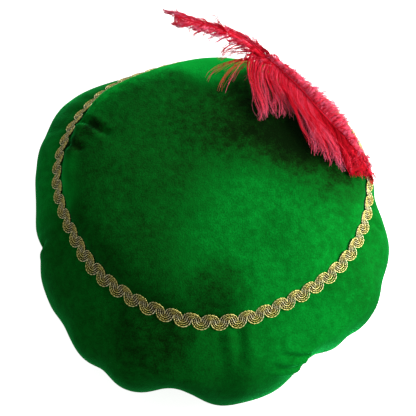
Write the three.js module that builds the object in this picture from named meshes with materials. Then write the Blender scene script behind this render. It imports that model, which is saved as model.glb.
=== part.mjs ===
// A feathered velvet beret, lying crown up. Millimetres, +Z up, its front towards -Y.
// The origin is on the resting surface, under the middle of the hat.
// Bearings are degrees round the hat, seen from above: 0 right, 90 back, 180 left, 270 front.
import * as THREE from "three";
import { mergeVertices } from "three/addons/utils/BufferGeometryUtils.js";

// Driving dimensions
const SEAM_RADIUS = 122;      // the seam between crown and side, under the braid
const SEAM_HEIGHT = 92;       // the seam above the resting surface, midway round
const TILT_BACK = 3;          // how much lower the seam lies at the back, and higher at the front
const LEAN_RIGHT = 7;         // how much lower it lies at the right, and higher at the left
const CROWN_RISE = 25;        // the middle of the crown above the seam
const HEAD_RADIUS = 88;       // the head opening
const WALL = 2;               // velvet
const HEM_WALL = 4;           // velvet turned over at the head opening
const HEM_WIDTH = 12;
const SEAM_GAP = 0.4;         // between one velvet piece and the next
const BRAID_BAND = 7.4;       // width of the braid's band of cords
const BRAID_SWING = 2.3;      // how far the band swings to each side of the seam
const BRAID_THICKNESS = 2;
const BRAID_REPEATS = 58;     // waves round the hat
const BRAID_LIFT = 0.8;       // clear of the velvet
const SHAFT_RADIUS = 1.7;     // the feather's shaft, at its base
const SHAFT_TIP_RADIUS = 0.8;
const VANE_THICKNESS = 1.4;   // the barbs on both sides of the shaft
const VANE_CLEARANCE = 2;     // the barbs' middle above the velvet
const LOCK_COUNT = 26;        // locks of barbs on each side
const LOCK_PARTING = 0.62;    // share of a lock's length where it parts from the next one

// How full the curved profiles are, as shares of the way from one end to the other
const CROWN_FLATNESS = 0.72;  // of the seam's radius over which the crown stays nearly flat
const CROWN_SHOULDER = 0.93;  // of its rise that the crown's edge climbs steeply
const BULGE_OUT = 0.6;        // of the puff that the side runs out before it turns down
const BULGE_DROP = 0.2;       // of the drop to the belly over that run
const BELLY_REACH = 0.5;      // of the height above the belly, and below it, that is close to upright
const FOOT_REACH = 0.55;      // of the tuck under the belly that is close to level

// Mesh density
const SEGMENTS = 84;          // round the hat
const CROWN_STEPS = 7;        // middle of the crown to the seam
const BULGE_STEPS = 5;        // seam to the fullest part of the side
const TUCK_STEPS = 5;         // fullest part to the resting surface
const BRAID_STEPS = 6;        // along one wave of the braid
const LOCK_STEPS = 4;         // shaft to the end of a lock

// Sections of the hat, one row every 30 degrees.
// out: seam past SEAM_RADIUS; puff: how far the side stands out past the seam;
// belly: height of the side's fullest part; foot: how far in from there it meets the surface.
const SECTIONS = [
  { bearing: 0,   out: 1,  puff: 16, belly: 40, foot: 20 },
  { bearing: 30,  out: 1,  puff: 12, belly: 38, foot: 20 },
  { bearing: 60,  out: 1,  puff: 16, belly: 38, foot: 20 },
  { bearing: 90,  out: -4, puff: 20, belly: 38, foot: 20 },
  { bearing: 120, out: -6, puff: 23, belly: 42, foot: 20 },
  { bearing: 150, out: 1,  puff: 37, belly: 55, foot: 22 },
  { bearing: 180, out: 2,  puff: 28, belly: 52, foot: 22 },
  { bearing: 210, out: -3, puff: 40, belly: 44, foot: 22 },
  { bearing: 240, out: 0,  puff: 52, belly: 42, foot: 22 },
  { bearing: 270, out: 2,  puff: 48, belly: 40, foot: 22 },
  { bearing: 300, out: -3, puff: 44, belly: 40, foot: 22 },
  { bearing: 330, out: 0,  puff: 37, belly: 42, foot: 22 },
];

// Dents of the crown and folds of the side.
// depth: inwards, at the middle; width: half width in degrees; from, to: shares of the way along the profile.
const CROWN_DENTS = [
  { bearing: 156, depth: 5, width: 5,  from: 0.6,  to: 1 },
  { bearing: 168, depth: 4, width: 5,  from: 0.65, to: 1 },
  { bearing: 270, depth: 3, width: 8,  from: 0.65, to: 1 },
  { bearing: 205, depth: 2, width: 12, from: 0.5,  to: 1 },
  { bearing: 325, depth: 2, width: 10, from: 0.55, to: 1 },
];
const SIDE_FOLDS = [
  { bearing: 160, depth: 3,  width: 5, from: 0,   to: 0.6 },
  { bearing: 199, depth: 6,  width: 5, from: 0.1, to: 1 },
  { bearing: 222, depth: 3,  width: 6, from: 0.1, to: 1 },
  { bearing: 238, depth: 5,  width: 5, from: 0,   to: 1 },
  { bearing: 259, depth: 14, width: 8, from: 0.3, to: 1.1 },
  { bearing: 272, depth: 3,  width: 5, from: 0,   to: 0.7 },
  { bearing: 297, depth: 12, width: 7, from: 0.3, to: 1.1 },
  { bearing: 313, depth: 5,  width: 4, from: 0.3, to: 1.1 },
  { bearing: 332, depth: 3,  width: 5, from: 0.1, to: 1 },
  { bearing: 356, depth: 5,  width: 6, from: 0.1, to: 1 },
  { bearing: 30,  depth: 4,  width: 6, from: 0.2, to: 1 },
  { bearing: 62,  depth: 4,  width: 6, from: 0.2, to: 1 },
  { bearing: 95,  depth: 4,  width: 6, from: 0.2, to: 1 },
  { bearing: 127, depth: 4,  width: 6, from: 0.2, to: 1 },
];

// The feather's shaft, from its base on the braid to its tip, measured from the crown's axis.
const SHAFT_ROUTE = [
  { x: 124, y: 1,   z: 95 },
  { x: 110, y: 15,  z: 107 },
  { x: 89,  y: 38,  z: 115 },
  { x: 71,  y: 68,  z: 118 },
  { x: 47,  y: 94,  z: 122 },
  { x: 33,  y: 109, z: 126 },
  { x: 0,   y: 118, z: 134 },
  { x: -40, y: 127, z: 141 },
];

// Barb locks along the shaft.
// ahead, fall: how far an inner lock's end lies to the right of its root and to the front of it;
// outer: length of the lock on the other side; drop: how far a lock sinks, as a share of its length.
const LOCKS = [
  { along: 0,    ahead: 2,   fall: 8,  outer: 8,  drop: 0 },
  { along: 0.1,  ahead: 11,  fall: 26, outer: 14, drop: 0.1 },
  { along: 0.2,  ahead: 14,  fall: 44, outer: 21, drop: 0.15 },
  { along: 0.3,  ahead: 15,  fall: 58, outer: 24, drop: 0.2 },
  { along: 0.38, ahead: 16,  fall: 70, outer: 20, drop: 0.2 },
  { along: 0.46, ahead: 14,  fall: 70, outer: 13, drop: 0.2 },
  { along: 0.5,  ahead: 8,   fall: 50, outer: 9,  drop: 0.2 },
  { along: 0.55, ahead: 1,   fall: 50, outer: 6,  drop: 0.2 },
  { along: 0.6,  ahead: -5,  fall: 52, outer: 4,  drop: 0.25 },
  { along: 0.66, ahead: -10, fall: 46, outer: 4,  drop: 0.25 },
  { along: 0.7,  ahead: -16, fall: 16, outer: 5,  drop: 0.4 },
  { along: 0.85, ahead: -18, fall: 10, outer: 5,  drop: 0.3 },
  { along: 1,    ahead: -8,  fall: 6,  outer: 4,  drop: 0.3 },
];
const LOCK_BEND = { ahead: 0.6, fall: 0.4 };  // shares of both that a lock covers before it turns down

const UP = new THREE.Vector3(0, 0, 1);

// A smooth closed curve through one column of the section table.
function column(name) {
  const points = SECTIONS.map((row) => new THREE.Vector3(row[name], 0, 0));
  const curve = new THREE.CatmullRomCurve3(points, true, "catmullrom");
  return (bearing) => curve.getPoint(THREE.MathUtils.euclideanModulo(bearing / 360, 1)).x;
}

const seamOut = column("out");
const puffOut = column("puff");
const bellyHeight = column("belly");
const footIn = column("foot");

// How far the crown's tilt lifts a point of the seam.
function tiltLift(bearing) {
  const angle = THREE.MathUtils.degToRad(bearing);
  return -TILT_BACK * Math.sin(angle) - LEAN_RIGHT * Math.cos(angle);
}

// Places that the hat's profiles run through at a bearing, as radius and height.
function sectionAt(bearing) {
  const seamRadius = SEAM_RADIUS + seamOut(bearing);
  const puffRadius = seamRadius + puffOut(bearing);
  return {
    top: new THREE.Vector2(0, SEAM_HEIGHT + CROWN_RISE),
    seam: new THREE.Vector2(seamRadius, SEAM_HEIGHT + tiltLift(bearing)),
    belly: new THREE.Vector2(puffRadius, bellyHeight(bearing)),
    foot: new THREE.Vector2(puffRadius - footIn(bearing), 0),
  };
}

// Depth of all folds of a panel at one place.
function foldDepth(folds, bearing, share) {
  let depth = 0;
  for (const fold of folds) {
    const turn = (THREE.MathUtils.euclideanModulo(bearing - fold.bearing + 180, 360) - 180) / fold.width;
    const reach = (2 * share - fold.from - fold.to) / (fold.to - fold.from);
    depth += fold.depth * Math.exp(-turn * turn) * Math.max(0, 1 - reach * reach);
  }
  return depth;
}

// Unit normals of a profile, pointing into the hat: to the right of the way that the profile runs,
// and straight down on the crown's axis.
function inwardNormals(points) {
  return points.map((point, i) => {
    if (point.x === 0) return new THREE.Vector2(0, -1);
    const before = points[Math.max(i - 1, 0)];
    const after = points[Math.min(i + 1, points.length - 1)];
    const along = after.clone().sub(before).normalize();
    return new THREE.Vector2(along.y, -along.x);
  });
}

function pressFolds(points, folds, bearing) {
  const normals = inwardNormals(points);
  const last = points.length - 1;
  return points.map((point, i) => point.clone().addScaledVector(normals[i], foldDepth(folds, bearing, i / last)));
}

// The crown's outer profile, from the middle to the seam.
function crownProfile(bearing) {
  const { top, seam } = sectionAt(bearing);
  const curve = new THREE.CubicBezierCurve(
    top,
    new THREE.Vector2(CROWN_FLATNESS * seam.x, top.y + CROWN_FLATNESS * tiltLift(bearing)),
    new THREE.Vector2(seam.x, seam.y + CROWN_SHOULDER * CROWN_RISE),
    new THREE.Vector2(seam.x, seam.y + SEAM_GAP / 2),
  );
  return pressFolds(curve.getPoints(CROWN_STEPS), CROWN_DENTS, bearing);
}

// The side's outer profile, from the seam over the bulge to the resting surface and in to the hem's edge.
function sideProfile(bearing) {
  const { seam, belly, foot } = sectionAt(bearing);
  const bulge = new THREE.CubicBezierCurve(
    new THREE.Vector2(seam.x, seam.y - SEAM_GAP / 2),
    new THREE.Vector2(seam.x + BULGE_OUT * (belly.x - seam.x), seam.y - BULGE_DROP * (seam.y - belly.y)),
    new THREE.Vector2(belly.x, belly.y + BELLY_REACH * (seam.y - belly.y)),
    belly,
  );
  const tuck = new THREE.CubicBezierCurve(
    belly,
    new THREE.Vector2(belly.x, belly.y - BELLY_REACH * belly.y),
    new THREE.Vector2(foot.x + FOOT_REACH * (belly.x - foot.x), 0),
    foot,
  );
  const standing = [...bulge.getPoints(BULGE_STEPS), ...tuck.getPoints(TUCK_STEPS).slice(1)];
  const besideHem = new THREE.Vector2(HEAD_RADIUS + HEM_WIDTH + SEAM_GAP, 0);
  return [...pressFolds(standing, SIDE_FOLDS, bearing), besideHem];
}

// The hem's lower face, from its edge to the head opening.
function hemProfile() {
  return [new THREE.Vector2(HEAD_RADIUS + HEM_WIDTH, 0), new THREE.Vector2(HEAD_RADIUS, 0)];
}

// A point of a profile, turned to its bearing.
function turned(point, bearing) {
  const angle = THREE.MathUtils.degToRad(bearing);
  return new THREE.Vector3(point.x * Math.cos(angle), point.x * Math.sin(angle), point.y);
}

// A closed geometry from corner points and triangles, with shared corners merged and collapsed triangles dropped.
function closedGeometry(corners, triangles) {
  const loose = new THREE.BufferGeometry().setFromPoints(corners);
  loose.setIndex(triangles.flat());
  const merged = mergeVertices(loose);
  const index = Array.from(merged.index.array);
  const kept = [];
  for (let i = 0; i < index.length; i += 3) {
    const [a, b, c] = index.slice(i, i + 3);
    if (a !== b && b !== c && c !== a) kept.push(a, b, c);
  }
  merged.setIndex(kept);
  merged.computeVertexNormals();
  return merged;
}

// A loft through rings of corners. A closed loft joins its last ring to its first, an open one has flat ends.
function loft(rings, closed) {
  const sides = rings[0].length;
  const at = (ring, side) => (ring % rings.length) * sides + (side % sides);
  const triangles = [];
  const spans = closed ? rings.length : rings.length - 1;
  for (let ring = 0; ring < spans; ring += 1) {
    for (let side = 0; side < sides; side += 1) {
      triangles.push([at(ring, side), at(ring, side + 1), at(ring + 1, side + 1)]);
      triangles.push([at(ring, side), at(ring + 1, side + 1), at(ring + 1, side)]);
    }
  }
  if (!closed) {
    const last = rings.length - 1;
    for (let side = 1; side < sides - 1; side += 1) {
      triangles.push([at(0, 0), at(0, side + 1), at(0, side)]);
      triangles.push([at(last, 0), at(last, side), at(last, side + 1)]);
    }
  }
  return closedGeometry(rings.flat(), triangles);
}

// A velvet wall: each bearing's section runs along its outer profile and back along the inner one.
function wallGeometry(profile, wall) {
  const rings = [];
  for (let segment = 0; segment < SEGMENTS; segment += 1) {
    const bearing = (360 * segment) / SEGMENTS;
    const outer = profile(bearing);
    const normals = inwardNormals(outer);
    const inner = outer.map((point, i) => point.clone().addScaledVector(normals[i], wall));
    rings.push([...outer, ...inner.reverse()].map((point) => turned(point, bearing)));
  }
  return loft(rings, true);
}

// Corners of the braid's section at a bearing, as radius and height. The braid is a flat band that bridges the seam,
// and swing moves it towards the crown. Its face stands proud of the velvet, its back lies just clear of it.
function braidCorners(bearing, swing) {
  const { seam } = sectionAt(bearing);
  const crown = crownProfile(bearing).at(-2).sub(seam).normalize();
  const side = sideProfile(bearing)[1].sub(seam).normalize();
  const out = crown.clone().add(side).normalize();
  const onVelvet = (across) => seam.clone().addScaledVector(across > 0 ? crown : side, Math.abs(across));
  const upperBack = onVelvet(swing + BRAID_BAND / 2).addScaledVector(out, BRAID_LIFT);
  const lowerBack = onVelvet(swing - BRAID_BAND / 2).addScaledVector(out, BRAID_LIFT);
  const upper = upperBack.clone().addScaledVector(out, BRAID_THICKNESS);
  const lower = lowerBack.clone().addScaledVector(out, BRAID_THICKNESS);
  return { upperBack, upper, lower, lowerBack };
}

function braidGeometry() {
  const stations = BRAID_REPEATS * BRAID_STEPS;
  const rings = [];
  for (let station = 0; station < stations; station += 1) {
    const bearing = (360 * station) / stations;
    const swing = BRAID_SWING * Math.sin((2 * Math.PI * station) / BRAID_STEPS);
    const { upperBack, upper, lower, lowerBack } = braidCorners(bearing, swing);
    rings.push([upperBack, upper, lower, lowerBack].map((corner) => turned(corner, bearing)));
  }
  return loft(rings, true);
}

// Height of the hat's upper surface, braid included, above a point of its plan.
function hatHeight(x, y) {
  const bearing = THREE.MathUtils.radToDeg(Math.atan2(y, x));
  const radius = Math.hypot(x, y);
  const { upper, lower } = braidCorners(bearing, 0);
  const bulge = sideProfile(bearing).slice(1, BULGE_STEPS + 1);
  const skin = [...crownProfile(bearing).slice(0, -1), upper, lower, ...bulge.filter(({ x: r }) => r > lower.x)];
  const next = Math.max(1, skin.findIndex((point) => point.x >= radius));
  const [before, after] = [skin[next - 1], skin[next]];
  return THREE.MathUtils.mapLinear(radius, before.x, after.x, before.y, after.y);
}

// One column of the lock table at a share of the way along the shaft.
function lockSize(name, along) {
  const next = Math.max(1, LOCKS.findIndex((row) => row.along >= along));
  const [before, after] = [LOCKS[next - 1], LOCKS[next]];
  return THREE.MathUtils.mapLinear(along, before.along, after.along, before[name], after[name]);
}

// The way that a lock's barbs take: from its root by way of its bend to its end, clear of the velvet.
function lockPath(root, bend, end) {
  const points = new THREE.QuadraticBezierCurve3(root, root.clone().add(bend), root.clone().add(end)).getPoints(LOCK_STEPS);
  for (const point of points) {
    point.z = Math.max(point.z, hatHeight(point.x, point.y) + VANE_CLEARANCE);
  }
  return points.slice(1);
}

// The feather's section across its shaft: the shaft standing proud of a thin vane that runs out to both lock ends.
function featherSection(shaft, along, reach) {
  const root = shaft.getPointAt(along);
  const outwards = new THREE.Vector3().crossVectors(shaft.getTangentAt(along), UP).normalize();
  const [ahead, fall, aside, drop] = ["ahead", "fall", "outer", "drop"].map((name) => lockSize(name, along));
  const innerBend = new THREE.Vector3(LOCK_BEND.ahead * ahead, -LOCK_BEND.fall * fall, 0).multiplyScalar(reach);
  const innerEnd = new THREE.Vector3(ahead, -fall, -drop * Math.hypot(ahead, fall)).multiplyScalar(reach);
  const outerBend = outwards.clone().multiplyScalar((reach * aside) / 2);
  const outerEnd = outwards.clone().addScaledVector(UP, -drop).multiplyScalar(reach * aside);
  const inner = lockPath(root, innerBend, innerEnd);
  const outer = lockPath(root, outerBend, outerEnd);
  const radius = THREE.MathUtils.lerp(SHAFT_RADIUS, SHAFT_TIP_RADIUS, along);
  const beside = (side) => root.clone().addScaledVector(outwards, side * radius);
  const raised = (points, lift) => points.map((point) => point.clone().addScaledVector(UP, lift));
  const half = VANE_THICKNESS / 2;
  return [
    ...raised(inner.slice(0, -1), half).reverse(),
    ...raised([beside(-1)], half),
    ...raised([root], radius),
    ...raised([beside(1)], half),
    ...raised(outer.slice(0, -1), half),
    outer.at(-1),
    ...raised(outer.slice(0, -1), -half).reverse(),
    ...raised([root], -radius),
    ...raised(inner.slice(0, -1), -half),
    inner.at(-1),
  ];
}

// The feather: one loft along its shaft, its edges toothed where one lock parts from the next.
function featherGeometry() {
  const shaft = new THREE.CatmullRomCurve3(SHAFT_ROUTE.map(({ x, y, z }) => new THREE.Vector3(x, y, z)));
  const sections = [];
  for (let step = 0; step <= 2 * LOCK_COUNT; step += 1) {
    sections.push(featherSection(shaft, step / (2 * LOCK_COUNT), step % 2 ? 1 : LOCK_PARTING));
  }
  return loft(sections, false);
}

function named(name, geometry, material) {
  const mesh = new THREE.Mesh(geometry, new THREE.MeshStandardMaterial(material));
  mesh.name = name;
  return mesh;
}

const velvet = { color: 0x0b6a1e, roughness: 0.9, metalness: 0 };
const gold = { color: 0xa89a5a, roughness: 0.45, metalness: 0.7 };
const plume = { color: 0xc0202f, roughness: 0.8, metalness: 0 };

// The pieces stand round the crown's axis, which is set so that the origin lies under the middle of the whole.
const beret = new THREE.Group();
beret.add(named("crown_top", wallGeometry(crownProfile, WALL), velvet));
beret.add(named("crown_side", wallGeometry(sideProfile, WALL), velvet));
beret.add(named("hem", wallGeometry(hemProfile, HEM_WALL), velvet));
beret.add(named("braid", braidGeometry(), gold));
beret.add(named("feather", featherGeometry(), plume));

const middle = new THREE.Box3().setFromObject(beret).getCenter(new THREE.Vector3());
beret.position.set(-middle.x, -middle.y, 0);

const part = new THREE.Group();
part.add(beret);

export default part;
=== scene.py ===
import math
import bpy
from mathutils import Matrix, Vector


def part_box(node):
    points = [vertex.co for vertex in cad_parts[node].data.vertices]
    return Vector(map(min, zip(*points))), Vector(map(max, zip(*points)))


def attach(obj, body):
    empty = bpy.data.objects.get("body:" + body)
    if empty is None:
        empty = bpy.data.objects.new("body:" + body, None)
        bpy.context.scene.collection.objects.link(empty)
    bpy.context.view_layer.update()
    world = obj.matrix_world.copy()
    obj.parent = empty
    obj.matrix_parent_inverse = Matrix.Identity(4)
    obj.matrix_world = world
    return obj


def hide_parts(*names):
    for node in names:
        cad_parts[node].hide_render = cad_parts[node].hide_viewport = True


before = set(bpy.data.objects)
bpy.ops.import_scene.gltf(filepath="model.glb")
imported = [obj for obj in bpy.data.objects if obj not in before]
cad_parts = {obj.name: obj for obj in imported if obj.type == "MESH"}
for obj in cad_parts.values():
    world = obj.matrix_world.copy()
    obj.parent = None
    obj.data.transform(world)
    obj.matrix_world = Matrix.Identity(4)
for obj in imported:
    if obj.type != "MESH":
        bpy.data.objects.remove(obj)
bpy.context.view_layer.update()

from types import SimpleNamespace as Row

import bpy
import numpy as np
from mathutils import Vector, noise
from mathutils.bvhtree import BVHTree

# A feathered velvet beret, dressed round its solids. Metres, +Z up, its front towards -Y.
# Bearings are degrees round the crown's axis, seen from above: 0 right, 90 back, 180 left, 270 front.
MM = 0.001
hem_low, hem_high = (Vector(corner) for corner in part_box("hem"))
AXIS = Vector(((hem_low.x + hem_high.x) / 2, (hem_low.y + hem_high.y) / 2, 0))

# The velvet's form, in millimetres, as in the solids
SEAM_RADIUS = 122
SEAM_HEIGHT = 92
TILT_BACK = 3
LEAN_RIGHT = 7
CROWN_RISE = 25
HEAD_RADIUS = 88
HEM_WIDTH = 12
WALL = 2
CROWN_FLATNESS = 0.72
CROWN_SHOULDER = 0.93
BULGE_OUT = 0.6
BULGE_DROP = 0.2
BELLY_REACH = 0.5
FOOT_REACH = 0.55

# Sections of the hat, one value every 30 degrees
SECTIONS = {
    "out":   (1, 1, 1, -4, -6, 1, 2, -3, 0, 2, -3, 0),
    "puff":  (16, 12, 16, 20, 23, 37, 28, 40, 52, 48, 44, 37),
    "belly": (40, 38, 38, 38, 42, 55, 52, 44, 42, 40, 40, 42),
    "foot":  (20, 20, 20, 20, 20, 22, 22, 22, 22, 22, 22, 22),
}

# Broad dents of the crown and folds of the side: bearing, depth, half width in degrees, from, to
CROWN_DENTS = (
    (156, 2.5, 5, 0.6, 1), (168, 2, 5, 0.65, 1), (270, 3, 8, 0.65, 1), (325, 2, 10, 0.55, 1),
)
SIDE_FOLDS = (
    (160, 1.5, 5, 0, 0.6), (186, 3, 10, 0, 1), (199, 6, 5, 0.1, 1), (222, 3, 6, 0.1, 1),
    (238, 5, 5, 0, 1), (259, 14, 8, 0.3, 1.1), (272, 3, 5, 0, 0.7), (299, 12, 8, 0.3, 1.1),
    (313, 4, 4, 0.3, 1.1), (332, 3, 5, 0.1, 1), (356, 5, 6, 0.1, 1), (30, 4, 6, 0.2, 1),
    (62, 4, 6, 0.2, 1), (95, 4, 6, 0.2, 1), (127, 2, 6, 0.2, 1),
)

# Sharp creases: bearing and share down the panel where each starts, the same where it ends,
# then depth, half width and height of its lips
CROWN_CREASES = (
    (158.8, 0.72, 165.2, 0.42, 4.6, 3.1, 1.0),
    (169.3, 0.93, 175, 0.57, 4.6, 3.1, 0.8),
)
SIDE_CREASES = (
    (239, 0.03, 239, 0.1, 2.0, 2.5, 1.0),
    (277.5, 0.05, 277.5, 0.24, 1.8, 3.6, 1.4),
    (297, 0.34, 289, 0.24, 4.6, 2.0, 2.2),
    (295, 0.42, 286, 0.29, 4.2, 2.2, 2.2),
    (344, 0.2, 344, 0.05, 2.0, 2.5, 1.0),
    (200, 0.36, 203, 0.08, 3.0, 3.0, 1.2),
)

CREASE = Row(fade=0.45, run_in=6, lip=2.2, lip_width=1.3)

# Bands where the crown's rim sinks at the back and under the braid at the left, and swells beside that braid
BACK_SINK = Row(deep=2.2, share=0.86, width=0.1)
LEFT_SINK = Row(deep=3.4, share=0.9, width=0.08)
RIM_ROLL = Row(deep=1.4, share=0.7, width=0.06)
BACK_GAIN = 1.6
BACK_START = 0.2
LEFT_STRETCH = (113, 140, 166, 202)

# Panels: points round and across, and soft swells as height, lumps in a metre and seed
CROWN_GRID = (400, 72)
CROWN_SPACING = 0.9
CROWN_EDGE = 0.05
CROWN_SWELLS = ((1.1, 22, 3), (0.5, 55, 8))
SIDE_GRID = (420, 84)
SIDE_SWELLS = ((1.6, 18, 5), (0.7, 48, 11))
SIDE_LOOSE = Row(top=0.08, foot=0.3)
SIDE_GATHERS = ((1.5, 7, 21), (1.05, 17, 4))
GATHER_RISE = 0.03
GATHER_FADE = 0.16
SIDE_CREASED = Row(start=0.04, end=0.62, fade=0.1)
# Shares of the side's strip: where it stops standing, where its flat ring ends, and how much turns up there
STANDING = 0.72
FLAT = 0.86
TURNED = 0.06
TURN_ROOM = 0.1


def mode(name):
    bpy.ops.object.mode_set(mode=name)


def alone(piece):
    """Makes one piece the only selected and active one."""
    if bpy.context.object and bpy.context.object.mode != "OBJECT":
        mode("OBJECT")
    bpy.ops.object.select_all(action="DESELECT")
    piece.select_set(True)
    bpy.context.view_layer.objects.active = piece


def edit_all(piece):
    """Opens a piece in edit mode with all of it selected."""
    alone(piece)
    mode("EDIT")
    bpy.ops.mesh.select_all(action="SELECT")


def smooth_shaded(piece):
    alone(piece)
    bpy.ops.object.shade_smooth()
    return piece


def coordinates(mesh):
    """A mesh's points as rows of an array."""
    flat = np.empty(3 * len(mesh.vertices))
    mesh.vertices.foreach_get("co", flat)
    return flat.reshape(-1, 3)


def move_points(mesh, points):
    mesh.vertices.foreach_set("co", np.asarray(points, dtype=float).ravel())
    mesh.update()


def unit(values):
    """Values held between 0 and 1."""
    return np.clip(values, 0, 1)


def cubic(p0, p1, p2, p3, t):
    """A cubic Bezier curve."""
    s = 1 - t
    return s ** 3 * p0 + 3 * s * s * t * p1 + 3 * s * t * t * p2 + t ** 3 * p3


def through(a, b, c, d, t):
    """A smooth curve from b to c, on its way from a to d."""
    bend = 2 * a - 5 * b + 4 * c - d
    return 0.5 * (2 * b + (c - a) * t + bend * t ** 2 + (3 * b - a - 3 * c + d) * t ** 3)


def section(name, bearing):
    """A smooth closed curve through one row of the section table."""
    values = np.array(SECTIONS[name], dtype=float)
    count = len(values)
    place = np.mod(bearing / 360, 1) * count
    step = np.floor(place).astype(int)
    a, b, c, d = (values[(step + shift) % count] for shift in (-1, 0, 1, 2))
    return through(a, b, c, d, place - step)


def tilt_lift(bearing):
    """How far the seam is lifted by the hat's tilt and lean."""
    angle = np.radians(bearing)
    return -TILT_BACK * np.sin(angle) - LEAN_RIGHT * np.cos(angle)


def behind(bearing):
    """How far a place lies at the back of the hat, from 0 to 1."""
    return unit(BACK_GAIN * np.sin(np.radians(bearing)) - BACK_START)


def at_left(bearing):
    """How far a place lies at the left of the hat, from 0 to 1."""
    return np.interp(np.mod(bearing, 360), LEFT_STRETCH, (0, 1, 1, 0))


def band(share, row):
    """A smooth band round the crown."""
    return row.deep * np.exp(-((share - row.share) / row.width) ** 2)


def fold_depth(folds, bearing, share):
    """Depth of all broad folds of a panel at one place."""
    depth = 0
    for middle, deep, width, start, end in folds:
        turn = (np.mod(bearing - middle + 180, 360) - 180) / width
        reach = (2 * share - start - end) / (end - start)
        depth = depth + deep * np.exp(-turn ** 2) * np.maximum(0, 1 - reach ** 2)
    return depth


def crown_profile(bearing, share):
    """Radius and height of the crown, from its middle to the seam."""
    radius = SEAM_RADIUS + section("out", bearing)
    lift = tilt_lift(bearing)
    seam = SEAM_HEIGHT + lift
    top = SEAM_HEIGHT + CROWN_RISE
    z = cubic(top, top + CROWN_FLATNESS * lift, seam + CROWN_SHOULDER * CROWN_RISE, seam, share)
    return cubic(0, CROWN_FLATNESS * radius, radius, radius, share), z


def side_profile(bearing, share):
    """Radius and height of the side, from the seam over its belly to the foot."""
    seam_r = SEAM_RADIUS + section("out", bearing)
    seam_z = SEAM_HEIGHT + tilt_lift(bearing)
    belly_r = seam_r + section("puff", bearing)
    belly_z = section("belly", bearing)
    foot_r = belly_r - section("foot", bearing)
    t = 2 * share
    bulge_r = cubic(seam_r, seam_r + BULGE_OUT * (belly_r - seam_r), belly_r, belly_r, t)
    bulge_z = cubic(seam_z, seam_z - BULGE_DROP * (seam_z - belly_z),
                    belly_z + BELLY_REACH * (seam_z - belly_z), belly_z, t)
    u = t - 1
    tuck_r = cubic(belly_r, belly_r, foot_r + FOOT_REACH * (belly_r - foot_r), foot_r, u)
    tuck_z = cubic(belly_z, belly_z - BELLY_REACH * belly_z, 0, 0, u)
    return np.where(t < 1, bulge_r, tuck_r), np.where(t < 1, bulge_z, tuck_z)


def pressed(profile, folds, bearing, share, step=0.01):
    """A profile with its broad folds pressed in, and its normal out of the hat."""
    r, z = profile(bearing, share)
    r0, z0 = profile(bearing, np.maximum(share - step, 0))
    r1, z1 = profile(bearing, np.minimum(share + step, 1))
    length = np.hypot(r1 - r0, z1 - z0)
    out_r, out_z = -(z1 - z0) / length, (r1 - r0) / length
    depth = fold_depth(folds, bearing, share)
    return r - depth * out_r, z - depth * out_z, out_r, out_z


def soft_noise(points, scale, seed):
    """Smooth noise from -1 to 1 at each point, with lumps of about 1/scale."""
    shift = Vector((seed, 2.7 * seed, -1.3 * seed))
    return np.array([noise.noise(Vector(p) * scale + shift) for p in points])


def swells(points, table):
    """Soft swells, added up from a table of height, scale and seed."""
    return sum(high * soft_noise(points, scale, seed) for high, scale, seed in table)


def placed(r, z, bearing):
    """Points in the hat's frame from radius, height and bearing."""
    angle = np.radians(bearing)
    return np.stack([AXIS.x + MM * r * np.cos(angle), AXIS.y + MM * r * np.sin(angle), MM * z], axis=-1)


def fresh(add, name, **settings):
    """A new piece from one of Blender's primitives."""
    bpy.ops.object.select_all(action="DESELECT")
    add(**settings)
    bpy.ops.object.transform_apply(location=True)
    piece = bpy.context.object
    piece.name = name
    piece.data.name = name
    return piece


def sewn_panel(name, turns, rows):
    """A flat cloth panel, and each point's bearing and share across."""
    panel = fresh(bpy.ops.mesh.primitive_grid_add, name, x_subdivisions=turns, y_subdivisions=rows, size=1)
    flat = coordinates(panel.data)
    return panel, 360 * (flat[:, 0] + 0.5), flat[:, 1] + 0.5


def close_and_thicken(panel, points):
    """Shapes a panel, sews its ends together and gives the velvet its thickness, on the inside."""
    move_points(panel.data, points)
    edit_all(panel)
    bpy.ops.mesh.remove_doubles(threshold=1e-6)
    bpy.ops.mesh.normals_make_consistent(inside=False)
    mode("OBJECT")
    wall = panel.modifiers.new("wall", "SOLIDIFY")
    wall.thickness = WALL * MM
    wall.offset = -1
    bpy.ops.object.modifier_apply(modifier=wall.name)
    return smooth_shaded(panel)


def crease_depth(points, profile, folds, creases):
    """Depth of the sharp creases, each a groove with raised lips."""
    depth = np.zeros(len(points))
    for b0, s0, b1, s1, deep, width, lip in creases:
        bearing = np.array([b0, b1], dtype=float)
        r, z, _, _ = pressed(profile, folds, bearing, np.array([s0, s1]))
        start, end = placed(r, z, bearing)
        way = end - start
        along = (points - start) @ way / (way @ way)
        aside = np.linalg.norm(points - start - unit(along)[:, None] * way, axis=1) / MM
        fade = unit(1 - along) ** CREASE.fade * unit(1 + CREASE.run_in * along)
        depth += fade * deep * np.exp(-(aside / width) ** 2)
        depth -= fade * lip * np.exp(-((aside - CREASE.lip * width) / (CREASE.lip_width * width)) ** 2)
    return depth


def make_crown_top():
    """The round velvet top, a soft low dome with pinched creases at the left."""
    panel, bearing, row = sewn_panel("velvet_top", *CROWN_GRID)
    share = row ** CROWN_SPACING
    r, z, out_r, out_z = pressed(crown_profile, CROWN_DENTS, bearing, share)
    middle = share < 1e-6
    r, out_r, out_z = np.where(middle, 0, r), np.where(middle, 0, out_r), np.where(middle, 1, out_z)
    points = placed(r, z, bearing)
    swell = swells(points, CROWN_SWELLS) - behind(bearing) * band(share, BACK_SINK)
    swell = swell + at_left(bearing) * (band(share, RIM_ROLL) - band(share, LEFT_SINK))
    swell = swell - crease_depth(points, crown_profile, CROWN_DENTS, CROWN_CREASES)
    swell = swell * unit((1 - share) / CROWN_EDGE)
    return close_and_thicken(panel, placed(r + swell * out_r, z + swell * out_z, bearing))


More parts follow.
